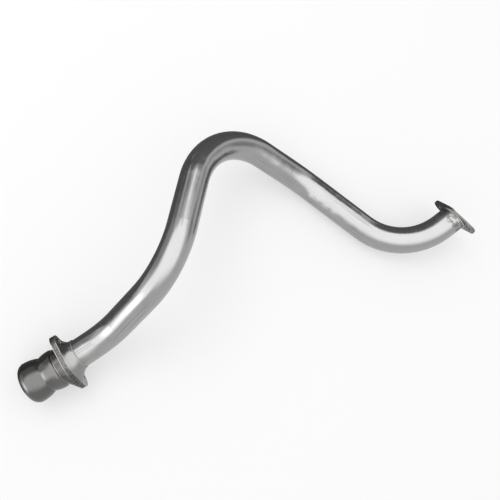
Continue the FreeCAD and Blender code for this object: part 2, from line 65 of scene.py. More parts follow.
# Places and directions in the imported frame


@dataclass(frozen=True)
class Axis:
    """A line in the row frame.

    Args:
        origin: A point on the line, in metres.
        along: The line's unit direction.
    """

    origin: Vector
    along: Vector

    def moved(self, distance: float) -> "Axis":
        """The same line, with its point moved along it by a distance in metres."""
        return Axis(self.origin + self.along * distance, self.along)


def mount_axis(name: str) -> Axis:
    """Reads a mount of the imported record.

    Args:
        name: The mount's name.

    Returns:
        Its point and its direction, which points out of the pipe.
    """
    mount = next(m for m in frame["record"]["mounts"] if m["name"] == name)
    return Axis(Vector(mount["pos_m"]), Vector(mount["axis"]).normalized())


def ring_axis(node: str, outward: Vector) -> Axis:
    """Finds the axis of a ring-shaped CAD node from its own vertices.

    Args:
        node: The CAD node's name.
        outward: A direction that the axis is turned to agree with.

    Returns:
        The ring's centre and the direction square to it.
    """
    points = [vertex.co.copy() for vertex in frame["nodes"][node].data.vertices]
    centre = sum(points, Vector()) / len(points)
    far = max(points, key=lambda p: (p - centre).length)
    side = far - centre
    other = max(points, key=lambda p: (p - centre).cross(side).length)
    along = side.cross(other - centre).normalized()
    if along.dot(outward) < 0:
        along.negate()
    return Axis(centre, along)


def standing(place: Vector, across: Vector, up: Vector, out: Vector) -> Matrix:
    """Stands a thing in the row frame.

    Args:
        place: Where its origin goes, in metres.
        across: The unit direction of its X.
        up: The unit direction of its Y.
        out: The unit direction of its Z.

    Returns:
        The matrix that puts it there.
    """
    return Matrix.Translation(place) @ Matrix((across, up, out)).transposed().to_4x4()


# Finishes


class Detail(Enum):
    """How many finer layers a noise has."""

    SOFT = 1.0
    PLAIN = 2.0
    FINE = 3.0
    RICH = 4.0
    RICHEST = 5.0


class Blend(Enum):
    """What a Mix node mixes: its data type, and the places of its two inputs and its result."""

    COLOUR = ("RGBA", 6, 7, 2)
    NUMBER = ("FLOAT", 2, 3, 0)


class Shader:
    """A material's node tree, with short calls for the nodes that the finishes use."""

    def __init__(self, name: str) -> None:
        """Makes an empty material with a Principled shader.

        Args:
            name: The material's name.
        """
        self.material = bpy.data.materials.new(name)
        self.material.use_nodes = True
        self.tree = self.material.node_tree
        self.tree.nodes.clear()
        self.output = self.node("ShaderNodeOutputMaterial")
        self.surface = self.node("ShaderNodeBsdfPrincipled")
        self.link(self.surface.outputs["BSDF"], self.output.inputs["Surface"])
        self.place = self.node("ShaderNodeTexCoord").outputs["Object"]
        self.normal = self.node("ShaderNodeNewGeometry").outputs["Normal"]

    def node(self, kind: str, **settings: object) -> bpy.types.Node:
        """Adds a node and sets its properties.

        Args:
            kind: The node's type name.
            settings: Property names and values.

        Returns:
            The new node.
        """
        made = self.tree.nodes.new(kind)
        for name, value in settings.items():
            setattr(made, name, value)
        return made

    def link(self, source: Socket, target: Socket) -> None:
        """Joins an output to an input."""
        self.tree.links.new(source, target)

    def feed(self, target: Socket, value: Value) -> None:
        """Joins a socket to an input, or sets the input to a plain value.

        Args:
            target: The input.
            value: The socket or the plain value.
        """
        if isinstance(value, Socket):
            self.link(value, target)
        else:
            target.default_value = value

    def math(self, operation: str, *values: Value) -> Socket:
        """Adds a Math node.

        Args:
            operation: The operation's name.
            values: Sockets or numbers for its inputs.

        Returns:
            The result.
        """
        made = self.node("ShaderNodeMath", operation=operation)
        for target, value in zip(made.inputs, values):
            self.feed(target, value)
        return made.outputs[0]

    def product(self, first: Value, *others: Value) -> Socket:
        """Multiplies two or more values.

        Args:
            first: A socket or a number.
            others: More of them.

        Returns:
            The product.
        """
        result = first
        for value in others:
            result = self.math("MULTIPLY", result, value)
        return result

    def vector(self, operation: str, *values: Value) -> bpy.types.Node:
        """Adds a Vector Math node.

        Args:
            operation: The operation's name.
            values: Sockets or vectors for its inputs.

        Returns:
            The node.
        """
        made = self.node("ShaderNodeVectorMath", operation=operation)
        for target, value in zip(made.inputs, values):
            self.feed(target, value)
        return made

    def ramp(self, value: Socket, band: Span, ends: Span = (0.0, 1.0)) -> Socket:
        """Maps a value smoothly from one range to another and clamps it.

        Args:
            value: The value.
            band: The two levels of the value between which the result runs.
            ends: The results at these two levels.

        Returns:
            The mapped value.
        """
        made = self.node("ShaderNodeMapRange", interpolation_type="SMOOTHSTEP")
        for name, number in zip(("From Min", "From Max", "To Min", "To Max"), (*band, *ends)):
            made.inputs[name].default_value = number
        self.feed(made.inputs["Value"], value)
        return made.outputs["Result"]

    def noise(self, size: float, detail: Detail = Detail.FINE) -> Socket:
        """Adds noise on Object coordinates.

        Args:
            size: The size of its features, in metres.
            detail: How many finer layers it has.

        Returns:
            The noise, from 0 to 1.
        """
        made = self.node("ShaderNodeTexNoise")
        made.inputs["Scale"].default_value = 1.0 / size
        made.inputs["Detail"].default_value = detail.value
        self.link(self.place, made.inputs["Vector"])
        return made.outputs["Fac"]

    def patches(self, size: float, detail: Detail, band: Span, ends: Span = (0.0, 1.0)) -> Socket:
        """Adds noise that is drawn together into patches.

        Args:
            size: The size of its features, in metres.
            detail: How many finer layers it has.
            band: The two levels of the noise between which the result runs.
            ends: The results at these two levels.

        Returns:
            The patches.
        """
        return self.ramp(self.noise(size, detail), band, ends)

    def streaks(self, axis: Axis, width: float, length: float) -> Socket:
        """Adds noise that is drawn out along an axis.

        Args:
            axis: The axis.
            width: How wide a streak is, in metres.
            length: How long a streak is, in metres.

        Returns:
            The noise, from 0 to 1.
        """
        side = axis.along.orthogonal().normalized()
        joined = self.node("ShaderNodeCombineXYZ")
        sizes = ((axis.along, length), (side, width), (axis.along.cross(side), width))
        for target, (along, size) in zip(joined.inputs, sizes):
            self.link(self.math("DIVIDE", self.height_on(Axis(axis.origin, along)), size), target)
        made = self.node("ShaderNodeTexNoise")
        made.inputs["Scale"].default_value = 1.0
        made.inputs["Detail"].default_value = Detail.PLAIN.value
        self.link(joined.outputs[0], made.inputs["Vector"])
        return made.outputs["Fac"]

    def mix(self, share: Value, first: Value, second: Value, kind: Blend = Blend.COLOUR) -> Socket:
        """Mixes two colours or two numbers.

        Args:
            share: How much of the second one, from 0 to 1.
            first: A socket, or a plain colour or number.
            second: A socket, or a plain colour or number.
            kind: Whether it mixes colours or numbers.

        Returns:
            The mixture.
        """
        data_type, first_place, second_place, result_place = kind.value
        made = self.node("ShaderNodeMix", data_type=data_type)
        self.feed(made.inputs[0], share)
        for place, value in ((first_place, first), (second_place, second)):
            self.feed(made.inputs[place], (*value, 1.0) if isinstance(value, tuple) else value)
        return made.outputs[result_place]

    def lay(self, name: str, share: Value, value: Value, kind: Blend = Blend.COLOUR) -> None:
        """Lays a colour or a number over what an input of the surface already has.

        Args:
            name: The input's name.
            share: How much of the new value shows, from 0 to 1.
            value: The new value.
            kind: Whether it is a colour or a number.
        """
        target = self.surface.inputs[name]
        self.feed(target, self.mix(share, target.links[0].from_socket, value, kind))

    def height_on(self, axis: Axis) -> Socket:
        """How far a place lies along an axis from its point, in metres."""
        offset = self.vector("SUBTRACT", self.place, tuple(axis.origin)).outputs["Vector"]
        return self.vector("DOT_PRODUCT", offset, tuple(axis.along)).outputs["Value"]

    def facing(self, axis: Axis) -> Socket:
        """How squarely a face looks along an axis, from 0 to 1, either way."""
        straight = self.vector("DOT_PRODUCT", self.normal, tuple(axis.along)).outputs["Value"]
        return self.math("ABSOLUTE", straight)

    def distance(self, point: Vector) -> Socket:
        """How far a place lies from a point, in metres."""
        return self.vector("DISTANCE", self.place, tuple(point)).outputs["Value"]

    def near(self, point: Vector, inner: float, outer: float) -> Socket:
        """1 within an inner distance of a point, falling to 0 at an outer distance."""
        return self.ramp(self.distance(point), (inner, outer), FADE)

    def bump(self, height: Socket, depth: float) -> None:
        """Adds a bump on top of those already there.

        Args:
            height: The bump's height, from 0 to 1.
            depth: The height of 1, in metres.
        """
        made = self.node("ShaderNodeBump")
        made.inputs["Strength"].default_value = 1.0
        made.inputs["Distance"].default_value = depth
        self.link(height, made.inputs["Height"])
        below = self.surface.inputs["Normal"]
        if below.is_linked:
            self.link(below.links[0].from_socket, made.inputs["Normal"])
        self.link(made.outputs["Normal"], below)

    def end(self, share: Value, first: Socket, second: Socket) -> None:
        """Ends the tree with a mix of two surfaces.

        Args:
            share: How much of the second surface shows, from 0 to 1.
            first: A surface.
            second: A surface.
        """
        made = self.node("ShaderNodeMixShader")
        for target, value in zip(made.inputs, (share, first, second)):
            self.feed(target, value)
        self.link(made.outputs[0], self.output.inputs["Surface"])


@dataclass(frozen=True)
class Steel:
    """Bare steel with grain, waves left by forming, clouds and smudges.

    Args:
        name: The material's name.
        colour: Its colour.
        roughness: Its mean roughness.
        smudge: How far the roughness wanders either way.
        grain: The size of its fine grain, in metres.
        grain_depth: The depth of its fine grain, in metres.
        wave: The size of its soft waves, in metres.
        wave_depth: The depth of its soft waves, in metres.
        cloud: The size of its darker and lighter clouds, in metres.
        shades: The clouds' darkest and lightest tone, as shares of the colour.
        smear: The size of its smudges, in metres.
        smear_band: The levels of the noise at which a smudge begins and is full.
    """

    name: str
    colour: Colour = (0.355, 0.355, 0.353)
    roughness: float = 0.2
    smudge: float = 0.03
    grain: float = 0.6 * MM
    grain_depth: float = 0.002 * MM
    wave: float = 30 * MM
    wave_depth: float = 0.03 * MM
    cloud: float = 22 * MM
    shades: Span = (0.93, 1.05)
    smear: float = 11 * MM
    smear_band: Span = (0.3, 0.7)

    def tone(self, share: float) -> Colour:
        """The steel's colour, times a share."""
        return tuple(channel * share for channel in self.colour)

    def shader(self) -> Shader:
        """The finish as a node tree that a piece may add its own zones to.

        Returns:
            The shader, with colour, roughness and bumps in place.
        """
        made = Shader(self.name)
        made.surface.inputs["Metallic"].default_value = 1.0
        darker, lighter = (self.tone(share) for share in self.shades)
        cloud = made.noise(self.cloud, Detail.RICH)
        made.feed(made.surface.inputs["Base Color"], made.mix(cloud, darker, lighter))
        limits = (self.roughness - self.smudge, self.roughness + self.smudge)
        smears = made.patches(self.smear, Detail.RICHEST, self.smear_band, limits)
        made.feed(made.surface.inputs["Roughness"], smears)
        made.bump(made.noise(self.wave, Detail.SOFT), self.wave_depth)
        made.bump(made.noise(self.grain, Detail.PLAIN), self.grain_depth)
        return made


@dataclass(frozen=True)
class Wear:
    """What a zone looks like where it departs from its piece's finish.

    Args:
        colour: Its colour.
        roughness: Its roughness.
        grain: The size of its grain, in metres.
        depth: The depth of its grain, in metres.
        thin: The size of the places where it has worn thin, in metres.
        thin_band: The levels of the noise between which it goes from thin to full.
        thinnest: How much of it is left where it is thinnest.
    """

    colour: Colour
    roughness: float
    grain: float
    depth: float
    thin: float = 6 * MM
    thin_band: Span = (0.25, 0.6)
    thinnest: float = 0.75


class Zone(Enum):
    """The zones that a piece may have: heat tint, a sheared edge, soot, a painted edge highlight, and dark
    scale that on the inlet flange's hub also paints shade.
    """

    HEAT = Wear((0.23, 0.22, 0.205), 0.24, 0.9 * MM, 0.004 * MM)
    SHEARED = Wear((0.13, 0.13, 0.128), 0.45, 1.4 * MM, 0.12 * MM)
    SOOT = Wear((0.13, 0.127, 0.122), 0.4, 1.2 * MM, 0.02 * MM)
    # A painted highlight: a bright colour that stands in for the light that a cut edge catches.
    EDGE_HIGHLIGHT = Wear((0.6, 0.6, 0.595), 0.22, 1.2 * MM, 0.005 * MM)
    # Dark scale, which on the inlet flange's hub also stands in for the shade in the groove between the
    # plate and the bead of the ball end.
    SCALE_AND_SHADE = Wear((0.08, 0.077, 0.073), 0.3, 1.6 * MM, 0.01 * MM)

    def over(self, shader: Shader, share: Socket, strength: float = 1.0) -> None:
        """Lays the zone over a finish.

        Args:
            shader: The finish.
            share: Where the zone is, from 0 to 1.
            strength: How much of the zone's colour and roughness shows where share is 1.
        """
        wear = self.value
        worn = shader.patches(wear.thin, Detail.RICH, wear.thin_band, (wear.thinnest, 1.0))
        share = shader.product(share, shader.product(worn, strength))
        shader.lay("Base Color", share, wear.colour)
        shader.lay("Roughness", share, wear.roughness, Blend.NUMBER)
        shader.bump(shader.product(shader.noise(wear.grain), share), wear.depth)


def dress(node: str, material: bpy.types.Material) -> None:
    """Puts a material into every slot of a CAD node.

    Args:
        node: The CAD node's name.
        material: The material.
    """
    slots = frame["nodes"][node].material_slots
    for slot in slots:
        slot.material = material
    if not slots:
        frame["nodes"][node].data.materials.append(material)
    LOG.info("%s is dressed in %s", node, material.name)


# Sub-assemblies


@dataclass
class BentTube:
    """The tube: drawn steel, with heat tint beside its two welds and soot by the thin flange.

    Args:
        finish: Its finish.
        heat_reach: How far the tint spreads along the tube from a weld, in metres.
        heat_strength: How much of the tint shows.
        section_reach: How far from a weld's middle a mark may lie, in metres.
        section_fade: Where a mark is gone, as a share of section_reach.
        stain_reach: How far the soot spreads along the tube, in metres.
        stain_core: How far back from the flange the soot is full, as a share of stain_reach.
        stain_strength: How much of the soot shows.
        patch: The size of the soot's patches, in metres.
        patch_band: The levels of the noise at which a patch begins and is full.
        dent_size: The size of the dents on the inner side of a bend, in metres.
        dent_depth: Their depth, in metres.
        dent_core: How far from its middle a dented place is full, as a share of its reach.
        kneaded: The dented places, each with its middle and its reach in metres.
        streak_width: How wide a drawing streak is, in metres.
        streak_length: How long it is, in metres.
        streak_depth: Its depth, in metres.
        streak_overrun: How far the streaks run on past a straight's ends, in metres.
        streak_core: How far from its middle a straight's streaks are full, as a share of their reach.
        streak_band: The levels of the noise at which a streak begins and is full.
        streak_tint: How much a full streak is darkened.
        streak_shade: What it is darkened to, as a share of the finish's colour.
        drawn: The straights that have streaks, each with its start and its end.
    """

    finish: Steel = Steel("tube_steel")
    heat_reach: float = 16 * MM
    heat_strength: float = 0.45
    section_reach: float = 46 * MM
    section_fade: float = 1.2
    stain_reach: float = 20 * MM
    stain_core: float = 0.7
    stain_strength: float = 0.8
    patch: float = 7 * MM
    patch_band: Span = (0.42, 0.56)
    dent_size: float = 26 * MM
    dent_depth: float = 1 * MM
    dent_core: float = 0.5
    kneaded: tuple[tuple[Point, float], ...] = (
        ((0.03, 0.175, 0.05), 0.07),
        ((0.13, 0.118, 0.023), 0.09),
        ((-0.1, 0.145, 0.125), 0.06),
    )
    streak_width: float = 2.2 * MM
    streak_length: float = 90 * MM
    streak_depth: float = 0.03 * MM
    streak_overrun: float = 33 * MM
    streak_core: float = 0.6
    streak_band: Span = (0.52, 0.66)
    streak_tint: float = 0.34
    streak_shade: float = 0.35
    drawn: tuple[tuple[Point, Point], ...] = (
        ((-0.2925, -0.1525, 0.0414), (-0.258, -0.1296, 0.0485)),
        ((-0.2125, -0.0948, 0.0772), (-0.1762, -0.0612, 0.1238)),
        ((-0.1251, 0.0382, 0.1552), (-0.1087, 0.1133, 0.137)),
        ((0.0063, 0.1834, 0.0609), (0.0511, 0.1662, 0.0362)),
        ((0.1001, 0.1388, 0.0225), (0.1853, 0.0757, 0.0225)),
    )

    def dress(self, neck: Axis, plate: Axis) -> None:
        """Gives the tube its finish.

        Args:
            neck: The ring where the inlet flange's neck ends on the tube.
            plate: The outlet flange's inner face.
        """
        shader = self.finish.shader()
        for ring in (neck, plate):
            self.tint(shader, ring)
        self.stain(shader, plate)
        for point, reach in self.kneaded:
            self.knead(shader, Vector(point), reach)
        for first, last in self.drawn:
            self.draw(shader, Vector(first), Vector(last))
        dress("bent_tube", shader.material)

    def section(self, shader: Shader, ring: Axis) -> Socket:
        """1 round a weld, falling to 0 away from it, so that a mark stays on its own stretch of tube."""
        return shader.near(ring.origin, self.section_reach, self.section_reach * self.section_fade)

    def tint(self, shader: Shader, ring: Axis) -> None:
        """Adds the heat tint beside a weld.

        Args:
            shader: The tube's finish.
            ring: The weld.
        """
        away = shader.math("ABSOLUTE", shader.height_on(ring))
        band = shader.ramp(away, (0.0, self.heat_reach), FADE)
        Zone.HEAT.over(shader, shader.product(band, self.section(shader, ring)), self.heat_strength)

    def stain(self, shader: Shader, plate: Axis) -> None:
        """Adds the soot beside the thin flange.

        Args:
            shader: The tube's finish.
            plate: The outlet flange's inner face.
        """
        band = (-self.stain_reach, -self.stain_reach * self.stain_core)
        stained = shader.ramp(shader.height_on(plate), band)
        patches = shader.patches(self.patch, Detail.FINE, self.patch_band)
        share = shader.product(stained, self.section(shader, plate), patches)
        Zone.SOOT.over(shader, share, self.stain_strength)

    def knead(self, shader: Shader, middle: Vector, reach: float) -> None:
        """Adds the soft dents that bending left.

        Args:
            shader: The tube's finish.
            middle: The middle of the dented place.
            reach: How far it reaches, in metres.
        """
        share = shader.near(middle, reach * self.dent_core, reach)
        dents = shader.noise(self.dent_size, Detail.SOFT)
        shader.bump(shader.product(dents, share), self.dent_depth)

    def draw(self, shader: Shader, first: Vector, last: Vector) -> None:
        """Adds the fine lengthwise streaks that drawing left on a straight.

        Args:
            shader: The tube's finish.
            first: The straight's start.
            last: The straight's end.
        """
        axis = Axis((first + last) / 2, (last - first).normalized())
        reach = (last - first).length / 2 + self.streak_overrun
        share = shader.near(axis.origin, reach * self.streak_core, reach)
        streaks = shader.streaks(axis, self.streak_width, self.streak_length)
        dark = shader.product(share, shader.ramp(streaks, self.streak_band, (0.0, self.streak_tint)))
        shader.lay("Base Color", dark, self.finish.tone(self.streak_shade))
        shader.bump(shader.product(streaks, share), self.streak_depth)


@dataclass
class BallEnd:
    """The formed ball end: a dark forming skin, with faint rings from spinning and a tinted foot.

    Args:
        finish: Its finish.
        ring_pitch: The distance from ring to ring, in metres.
        ring_depth: The rings' depth, in metres.
        foot_reach: How far behind the ball's centre the tint is full, in metres.
        foot_fade: Where it is gone, as a share of foot_reach.
        foot_strength: How much of the tint shows.
    """

    finish: Steel = Steel(
        "formed_steel",
        colour=(0.125, 0.124, 0.121),
        roughness=0.22,
        smudge=0.07,
        wave=12 * MM,
        wave_depth=0.07 * MM,
    )
    ring_pitch: float = 1.1 * MM
    ring_depth: float = 0.003 * MM
    foot_reach: float = 40 * MM
    foot_fade: float = 0.6
    foot_strength: float = 0.2

    def dress(self, ball: Axis) -> None:
        """Gives the ball end its finish.

        Args:
            ball: The ball's centre and the way out of the pipe.
        """
        shader = self.finish.shader()
        height = shader.height_on(ball)
        rings = shader.node("ShaderNodeTexNoise", noise_dimensions="1D")
        rings.inputs["Scale"].default_value = 1.0 / self.ring_pitch
        shader.link(height, rings.inputs["W"])
        shader.bump(rings.outputs["Fac"], self.ring_depth)
        foot = shader.ramp(height, (-self.foot_reach, -self.foot_reach * self.foot_fade), FADE)
        Zone.HEAT.over(shader, foot, self.foot_strength)
        dress("ball_end", shader.material)


@dataclass
class InletFlange:
    """The thick flange: satin faces, a coarse sheared rim with painted highlights along its edges, a smooth
    neck, and a hub darkened by scale and painted shade.

    Args:
        finish: Its finish.
        plate: The plate's thickness, in metres.
        rim_half: Half the rim's breadth, as a share of the plate's thickness.
        rim_reach: The least distance of the rim from the plate's middle, in metres.
        rim_facing: How squarely a face may look along the axis and be full rim, and be none.
        pit: The size of the rim's pits, in metres.
        pit_band: The levels of the noise at which a pit begins and is full.
        pit_strength: How much of the pits' scale shows.
        edge_highlight_band: Where the painted highlights along the rim's edges begin and are full, as shares
            of the plate's thickness.
        edge_highlight_strength: How much of the painted edge highlights shows.
        hub_shade_band: Where the hub's dark scale and painted shade begin and are full, as shares of the
            plate's thickness.
        hub_shade_strength: How much of the hub's scale and painted shade shows.
    """

    finish: Steel = Steel(
        "flange_steel",
        colour=(0.265, 0.264, 0.26),
        roughness=0.22,
        wave=14 * MM,
        wave_depth=0.04 * MM,
    )
    plate: float = 8 * MM
    rim_half: float = 0.52
    rim_reach: float = 27.5 * MM
    rim_facing: Span = (0.2, 0.5)
    pit: float = 3 * MM
    pit_band: Span = (0.45, 0.55)
    pit_strength: float = 0.9
    edge_highlight_band: Span = (0.41, 0.46)
    edge_highlight_strength: float = 0.7
    hub_shade_band: Span = (0.5, 0.55)
    hub_shade_strength: float = 0.95

    def dress(self, middle: Axis) -> None:
        """Gives the flange its finish.

        Args:
            middle: The middle of the bolt pattern, half way through the plate, pointing to the ball.
        """
        shader = self.finish.shader()
        height = shader.height_on(middle)
        depth = shader.math("ABSOLUTE", height)
        rim = shader.product(
            shader.math("LESS_THAN", depth, self.plate * self.rim_half),
            shader.ramp(shader.facing(middle), self.rim_facing, FADE),
            shader.math("GREATER_THAN", shader.distance(middle.origin), self.rim_reach),
        )
        Zone.SHEARED.over(shader, rim)
        pits = shader.patches(self.pit, Detail.RICH, self.pit_band)
        Zone.SCALE_AND_SHADE.over(shader, shader.product(rim, pits), self.pit_strength)
        # Painted highlight: bright bands along both edges of the rim stand in for the light that the edges
        # catch.
        edge = shader.ramp(depth, self.in_metres(self.edge_highlight_band))
        Zone.EDGE_HIGHLIGHT.over(shader, shader.product(rim, edge), self.edge_highlight_strength)
        # Dark scale and painted shade: the hub beyond the plate's end face is darkened where it sits in the
        # groove between the plate and the bead of the ball end.
        hub = shader.ramp(height, self.in_metres(self.hub_shade_band))
        Zone.SCALE_AND_SHADE.over(shader, hub, self.hub_shade_strength)
        dress("inlet_flange", shader.material)

    def in_metres(self, band: Span) -> Span:
        """A band given as shares of the plate's thickness, in metres."""
        return self.plate * band[0], self.plate * band[1]


@dataclass
class OutletFlange:
    """The thin flange: sooty towards the tube, with a painted highlight along its outer face and edge.

    Args:
        finish: Its finish.
        soot_band: Where the soot starts to fade and is gone, along the axis from the middle, in metres.
        soot_strength: How much of the soot shows.
        edge_highlight_band: Where the painted highlight begins and is full, along the axis from the middle,
            in metres.
        edge_highlight_strength: How much of the painted highlight shows.
    """

    finish: Steel = Steel("plate_steel", roughness=0.26, wave=16 * MM, wave_depth=0.03 * MM)
    soot_band: Span = (0.9 * MM, 1.3 * MM)
    soot_strength: float = 0.9
    edge_highlight_band: Span = (1.2 * MM, 1.6 * MM)
    edge_highlight_strength: float = 0.8

    def dress(self, middle: Axis) -> None:
        """Gives the flange its finish.

        Args:
            middle: The middle of the bolt pattern, half way through the plate.
        """
        shader = self.finish.shader()
        height = shader.height_on(middle)
        Zone.SOOT.over(shader, shader.ramp(height, self.soot_band, FADE), self.soot_strength)
        # Painted highlight: the outer face and its edge are laid bright to stand in for the light that they
        # catch.
        Zone.EDGE_HIGHLIGHT.over(shader, shader.ramp(height, self.edge_highlight_band), self.edge_highlight_strength)
        dress("outlet_flange", shader.material)


@dataclass
class WeldBead:
    """A laid bead: overlapping ripples round the tube, each a flattened drop of steel.

    Args:
        name: The piece's name.
        node: The CAD node that it stands for.
        size: The bead's radius, in metres.
        pitch: The distance from ripple to ripple, in metres.
        slant: How far each ripple leans along the bead, in degrees.
        half_length: Half a ripple's length along the bead, as a share of the pitch.
        sides: How many faces a ripple has round it.
        rings: How many rows of faces it has from pole to pole.
        tube_radius: The radius that the bead is laid round, in metres.
        finish: Its finish.
    """

    name: str
    node: str
    size: float
    pitch: float
    slant: float = 28.0
    half_length: float = 0.93
    sides: int = 12
    rings: int = 8
    tube_radius: float = 22.5 * MM
    finish: Steel = Steel("weld_steel", colour=(0.34, 0.338, 0.334), roughness=0.24, smudge=0.05)

    def path(self, tube: Axis, face: Axis) -> list[tuple[Vector, Vector, Vector]]:
        """Walks round the line where the tube meets a plane.

        Args:
            tube: The tube's axis.
            face: A point of the plane and the direction square to it.

        Returns:
            For each ripple its place, the direction along the bead and the way out from the tube.
        """
        first = tube.along.orthogonal().normalized()
        second = tube.along.cross(first)
        count = round(2 * math.pi * self.tube_radius / self.pitch)
        stations = []
        for index in range(count):
            turn = 2 * math.pi * index / count
            outward = first * math.cos(turn) + second * math.sin(turn)
            start = tube.origin + outward * self.tube_radius
            slide = (face.origin - start).dot(face.along) / tube.along.dot(face.along)
            around = second * math.cos(turn) - first * math.sin(turn)
            stations.append((start + tube.along * slide, around, outward))
        return stations

    def ripple(self) -> bpy.types.Object:
        """Models one ripple at the origin, with its length along X.

        Returns:
            The ripple.
        """
        bpy.ops.object.select_all(action="DESELECT")
        bpy.ops.mesh.primitive_uv_sphere_add(
            segments=self.sides, ring_count=self.rings, radius=self.size
        )
        bpy.ops.object.mode_set(mode="EDIT")
        bpy.ops.mesh.select_all(action="SELECT")
        bpy.ops.transform.resize(value=(self.half_length * self.pitch / self.size, 1.0, 1.0))
        bpy.ops.object.mode_set(mode="OBJECT")
        return bpy.context.object

    def build(self, tube: Axis, face: Axis) -> bpy.types.Object:
        """Models one ripple, copies it round the tube and joins the copies.

        Args:
            tube: The tube's axis.
            face: The plane that the bead lies in.

        Returns:
            The bead, with its place in its mesh.
        """
        ripple = self.ripple()
        lean = Matrix.Rotation(math.radians(self.slant), 4, "Z")
        copies = []
        for place, around, outward in self.path(tube, face):
            copy = ripple.copy()
            copy.data = ripple.data.copy()
            bpy.context.collection.objects.link(copy)
            copy.matrix_world = standing(place, around, outward, around.cross(outward)) @ lean
            copies.append(copy)
        bpy.data.objects.remove(ripple)
        bpy.ops.object.select_all(action="DESELECT")
        for copy in copies:
            copy.select_set(True)
        bpy.context.view_layer.objects.active = copies[0]
        bpy.ops.object.join()
        bead = bpy.context.object
        bpy.ops.object.transform_apply(location=True, rotation=True, scale=True)
        bpy.ops.object.shade_smooth()
        bead.name = self.name
        bead.data.name = self.name
        return bead

    def dress(self, bead: bpy.types.Object, shader: Shader) -> None:
        """Gives the bead its finish, hides the CAD node that it stands for and hangs the bead on the body.

        Args:
            bead: The bead.
            shader: The weld's finish.
        """
        bead.data.materials.clear()
        bead.data.materials.append(shader.material)
        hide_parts(self.node)
        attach(bead, BODY)
        LOG.info("%s stands for %s with %d faces", bead.name, self.node, len(bead.data.polygons))


@dataclass
class MidPipe:
    """The whole pipe, in the order in which it is put together.

    Args:
        tube: The bent tube.
        ball: The ball end.
        inlet: The thick flange.
        outlet: The thin flange.
        neck_bead: The bead round the inlet flange's neck.
        plate_bead: The bead between the tube and the thin flange.
        outlet_plate: The thin flange's thickness, in metres.
        tint: The size of the beads' heat tints, in metres.
        tint_strength: How much of these shows.
    """

    tube: BentTube = field(default_factory=BentTube)
    ball: BallEnd = field(default_factory=BallEnd)
    inlet: InletFlange = field(default_factory=InletFlange)
    outlet: OutletFlange = field(default_factory=OutletFlange)
    neck_bead: WeldBead = field(
        default_factory=lambda: WeldBead("neck_bead", "inlet_neck_weld", 1.3 * MM, 1.3 * MM)
    )
    plate_bead: WeldBead = field(
        default_factory=lambda: WeldBead("plate_bead", "outlet_neck_weld", 2.1 * MM, 1.7 * MM)
    )
    outlet_plate: float = 4 * MM
    tint: float = 8 * MM
    tint_strength: float = 0.15

    def build(self) -> None:
        """Dresses the CAD nodes and lays the weld beads."""
        ball = mount_axis("ball_seat")
        joint = mount_axis("inlet_bolts")
        plate = mount_axis("outlet_bolts")
        face = plate.moved(-self.outlet_plate / 2)
        neck = ring_axis("inlet_neck_weld", joint.along)
        outlet = mount_axis("outlet_bore")
        self.tube.dress(neck, face)
        self.ball.dress(ball)
        self.inlet.dress(joint)
        self.outlet.dress(plate)
        shader = self.neck_bead.finish.shader()
        Zone.HEAT.over(shader, shader.noise(self.tint, Detail.PLAIN), self.tint_strength)
        self.neck_bead.dress(self.neck_bead.build(neck, neck), shader)
        self.plate_bead.dress(self.plate_bead.build(outlet, face), shader)
        dress("ball_end_weld", shader.material)


# The studio


@dataclass(frozen=True)
class Panel:
    """A glowing rectangle that the steel mirrors and the camera doesn't see.

    Args:
        name: The panel's name.
        pose: Its place and turn: X to the side, Y up.
        width: Its width, in metres.
        height: Its height, in metres.
        glow: How bright it is, where a white floor is 1.
        feather: The share of its width or height that fades out at its two sides, its foot and its top.
    """

    name: str
    pose: Matrix
    width: float
    height: float
    glow: float
    feather: Feather

    def build(self) -> bpy.types.Object:
        """Stands the panel in its place.

        Returns:
            The panel.
        """
        bpy.ops.object.select_all(action="DESELECT")
        bpy.ops.mesh.primitive_plane_add(size=1.0)
        panel = bpy.context.object
        panel.name = self.name
        panel.matrix_world = self.pose @ Matrix.Diagonal((self.width, self.height, 1.0, 1.0))
        panel.data.materials.append(self.light())
        panel.visible_camera = False
        panel.visible_diffuse = False
        panel.visible_shadow = False
        panel.visible_volume_scatter = False
        return panel

    def light(self) -> bpy.types.Material:
        """The panel's even glow, which fades at its edges.

        Returns:
            The material.
        """
        shader = Shader(self.name)
        apart = shader.node("ShaderNodeSeparateXYZ")
        shader.link(shader.place, apart.inputs[0])
        ways = [(apart.outputs[axis], sign) for axis in (0, 1) for sign in (-1.0, 1.0)]
        fades = [
            shader.ramp(shader.product(place, sign), (0.5 - feather, 0.5), FADE)
            for (place, sign), feather in zip(ways, self.feather)
        ]
        glow = shader.node("ShaderNodeEmission")
        glow.inputs["Strength"].default_value = self.glow
        clear = shader.node("ShaderNodeBsdfTransparent")
        shader.end(shader.product(*fades), clear.outputs[0], glow.outputs[0])
        return shader.material


@dataclass(frozen=True)
class Card:
    """A card or a soft box that stands round the pipe and faces it.

    Args:
        name: The card's name.
        azimuth: The direction that it stands in, from +X towards +Y, in degrees.
        elevation: Its middle's height above the horizon, in degrees.
        distance: How far its middle is from the target, in metres.
        width: Its width, in metres.
        height: Its height, in metres.
        glow: How bright it is, where a white floor is 1.
        feather: The share of its width or height that fades out at its two sides, its foot and its top.
        target: The point that it faces.
    """

    name: str
    azimuth: float
    elevation: float
    distance: float
    width: float
    height: float
    glow: float
    feather: Feather
    target: Point = (0.0, 0.0, 0.08)

    def build(self) -> bpy.types.Object:
        """Stands the card in its place.

        Returns:
            The card.
        """
        turn, lift = math.radians(self.azimuth), math.radians(self.elevation)
        away = Vector((math.cos(turn) * math.cos(lift), math.sin(turn) * math.cos(lift), math.sin(lift)))
        side = UP.cross(-away).normalized()
        pose = standing(Vector(self.target) + away * self.distance, side, (-away).cross(side), -away)
        return Panel(self.name, pose, self.width, self.height, self.glow, self.feather).build()


